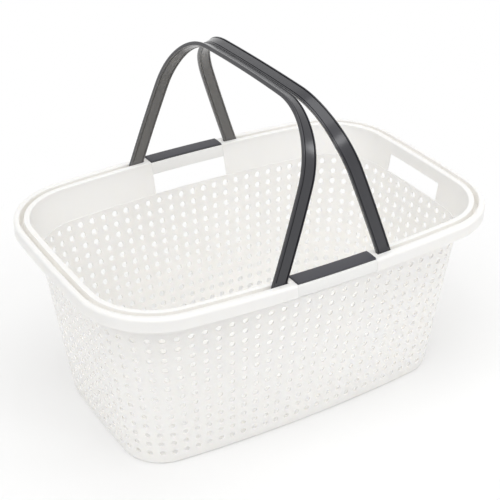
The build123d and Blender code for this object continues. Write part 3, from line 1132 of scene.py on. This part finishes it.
class BASKET_OT_stage(bpy.types.Operator):
    """Camera, pale floor, lamps and white surround"""

    bl_idname = "basket.make_stage"
    bl_label = "Stage"

    def execute(self, context):
        stage = context.scene.basket_stage
        select_none()
        bpy.ops.object.camera_add(location=stage.camera_place, rotation=stage.camera_turn)
        camera = context.object
        camera.data.sensor_fit = "HORIZONTAL"
        camera.data.sensor_width = SENSOR_WIDTH
        camera.data.lens = stage.lens
        camera.data.shift_x, camera.data.shift_y = CAMERA_SHIFT
        camera.data.clip_end = CAMERA_REACH
        context.scene.camera = camera
        select_none()
        bpy.ops.mesh.primitive_plane_add(size=FLOOR_SIZE, location=(0, 0, -FLOOR_DROP))
        floor = context.object
        floor.name = "floor"
        floor.data.materials.append(self.floor_material(stage))
        for name, toward, angle in LAMPS:
            turn = (-Vector(toward)).to_track_quat("-Z", "Y").to_euler()
            lamp = self.lamp(f"{name}_lamp", "SUN", toward, turn, getattr(stage, f"{name}_level"), stage)
            lamp.angle = math.radians(angle)
        for name, place in PANELS:
            turn = (Vector(PANEL_AIM) - Vector(place)).to_track_quat("-Z", "Y").to_euler()
            self.lamp(name, "AREA", place, turn, stage.panel_power, stage).size = PANEL_SIZE
        self.surround(context.scene, stage)
        context.scene.view_settings.view_transform = "Standard"
        return {"FINISHED"}

    def lamp(self, name, kind, place, turn, level, stage):
        """A soft lamp at a place and turn."""
        bpy.ops.object.light_add(type=kind, location=place, rotation=turn)
        lamp = bpy.context.object
        lamp.name = name
        lamp.data.energy = level
        lamp.data.color = stage.lamp_colour
        return lamp.data

    def seen(self, nodes, links):
        """1 for what the camera sees directly, in gloss or through clear parts."""
        path = nodes.new("ShaderNodeLightPath")
        found = path.outputs["Is Camera Ray"]
        for ray in ("Is Glossy Ray", "Is Transmission Ray"):
            either = nodes.new("ShaderNodeMath")
            either.operation = "MAXIMUM"
            links.new(found, either.inputs[0])
            links.new(path.outputs[ray], either.inputs[1])
            found = either.outputs[0]
        return found

    def floor_material(self, stage):
        """Pale floor that keeps the shadow and lifts to white away from the basket."""
        material = bpy.data.materials.new("pale_floor")
        material.use_nodes = True
        nodes, links = material.node_tree.nodes, material.node_tree.links
        nodes.remove(nodes["Principled BSDF"])
        matte = nodes.new("ShaderNodeBsdfDiffuse")
        matte.inputs["Color"].default_value = (*stage.floor_colour, 1)
        white = nodes.new("ShaderNodeEmission")
        white.inputs["Strength"].default_value = 1.0
        lift = nodes.new("ShaderNodeMixShader")
        place = nodes.new("ShaderNodeTexCoord")
        reach = nodes.new("ShaderNodeVectorMath")
        reach.operation = "DISTANCE"
        reach.inputs[1].default_value = (0, 0, 0)
        fade = nodes.new("ShaderNodeMapRange")
        fade.interpolation_type = "SMOOTHSTEP"
        for name, value in LIFT_RANGE.items():
            fade.inputs[name].default_value = value
        share = nodes.new("ShaderNodeMath")
        share.operation = "MULTIPLY"
        links.new(place.outputs["Object"], reach.inputs[0])
        links.new(reach.outputs["Value"], fade.inputs["Value"])
        links.new(self.seen(nodes, links), share.inputs[0])
        links.new(fade.outputs["Result"], share.inputs[1])
        links.new(share.outputs[0], lift.inputs["Fac"])
        links.new(matte.outputs["BSDF"], lift.inputs[1])
        links.new(white.outputs["Emission"], lift.inputs[2])
        links.new(lift.outputs["Shader"], nodes["Material Output"].inputs["Surface"])
        return material

    def surround(self, scene, stage):
        """Even light all round, seen as white."""
        world = bpy.data.worlds.new("white_surround")
        scene.world = world
        world.use_nodes = True
        nodes, links = world.node_tree.nodes, world.node_tree.links
        light = nodes["Background"]
        light.inputs["Color"].default_value = SKY_COLOUR
        light.inputs["Strength"].default_value = stage.sky_level
        white = nodes.new("ShaderNodeBackground")
        white.inputs["Color"].default_value = (1, 1, 1, 1)
        white.inputs["Strength"].default_value = 1.0
        mix = nodes.new("ShaderNodeMixShader")
        links.new(self.seen(nodes, links), mix.inputs["Fac"])
        links.new(light.outputs["Background"], mix.inputs[1])
        links.new(white.outputs["Background"], mix.inputs[2])
        links.new(mix.outputs["Shader"], nodes["World Output"].inputs["Surface"])


class BASKET_OT_finishes(bpy.types.Operator):
    """Plastics of the tub, the bars, the pads and the handles"""

    bl_idname = "basket.make_finishes"
    bl_label = "Finishes"

    def execute(self, context):
        scene = context.scene
        colours = scene.basket_colours
        # The tub's channel colour is painted light: a cream lift of the shade in the channel.
        scene.basket_tub_material = plastic(
            "tub_plastic_finish", colours.tub, shade=0.985, rough=0.42, grain=0.06,
            shine=0.35, scatter=0.3, deep=colours.channel,
        )
        scene.basket_bar_material = plastic(
            "bar_plastic_finish", colours.bar, shade=0.985, rough=0.38, grain=0.05, shine=0.35
        )
        scene.basket_pad_material = plastic(
            "pad_plastic_finish", colours.pad, shade=0.90, rough=0.50, grain=0.25, shine=0.4
        )
        # The handles' inside colour is a painted reflection on their inner faces.
        scene.basket_handle_material = plastic(
            "handle_plastic_finish", colours.handle, shade=0.90, rough=0.34, grain=0.15,
            shine=0.25, coat=0.85, deep=colours.inside,
        )
        return {"FINISHED"}


class BASKET_PT_panel(bpy.types.Panel):
    """Buttons and sizes of the basket"""

    bl_idname = "BASKET_PT_panel"
    bl_label = "Carry Basket"
    bl_space_type = "VIEW_3D"
    bl_region_type = "UI"
    bl_category = "Basket"

    def draw(self, context):
        for operator in OPERATORS:
            self.layout.operator(operator.bl_idname)
        for name in SETTINGS:
            group = getattr(context.scene, name)
            box = self.layout.box()
            for key in group.__annotations__:
                box.prop(group, key)


OPERATORS = (
    BASKET_OT_finishes,
    BASKET_OT_wall,
    BASKET_OT_rim,
    BASKET_OT_bars,
    BASKET_OT_pads,
    BASKET_OT_handles,
    BASKET_OT_stage,
)
SETTINGS = {
    "basket_tub": TubSizes,
    "basket_grip": GripSizes,
    "basket_handle": HandleSizes,
    "basket_colours": FinishColours,
    "basket_stage": StageSettings,
}
MATERIALS = ("basket_tub_material", "basket_bar_material", "basket_pad_material", "basket_handle_material")


def register():
    """Register the settings, the operators and the panel."""
    for name, group in SETTINGS.items():
        bpy.utils.register_class(group)
        setattr(bpy.types.Scene, name, bpy.props.PointerProperty(type=group))
    for name in MATERIALS:
        setattr(bpy.types.Scene, name, bpy.props.PointerProperty(type=bpy.types.Material))
    for item in (*OPERATORS, BASKET_PT_panel):
        bpy.utils.register_class(item)


def unregister():
    """Undo what register did."""
    for item in (BASKET_PT_panel, *reversed(OPERATORS)):
        bpy.utils.unregister_class(item)
    for name in MATERIALS:
        delattr(bpy.types.Scene, name)
    for name, group in SETTINGS.items():
        delattr(bpy.types.Scene, name)
        bpy.utils.unregister_class(group)


def main():
    """Build the basket and its stage."""
    register()
    bpy.ops.basket.make_finishes()
    bpy.ops.basket.make_wall()
    bpy.ops.basket.make_rim()
    bpy.ops.basket.make_bars()
    bpy.ops.basket.make_pads()
    bpy.ops.basket.make_handles()
    bpy.ops.basket.make_stage()


if __name__ == "__main__":
    main()
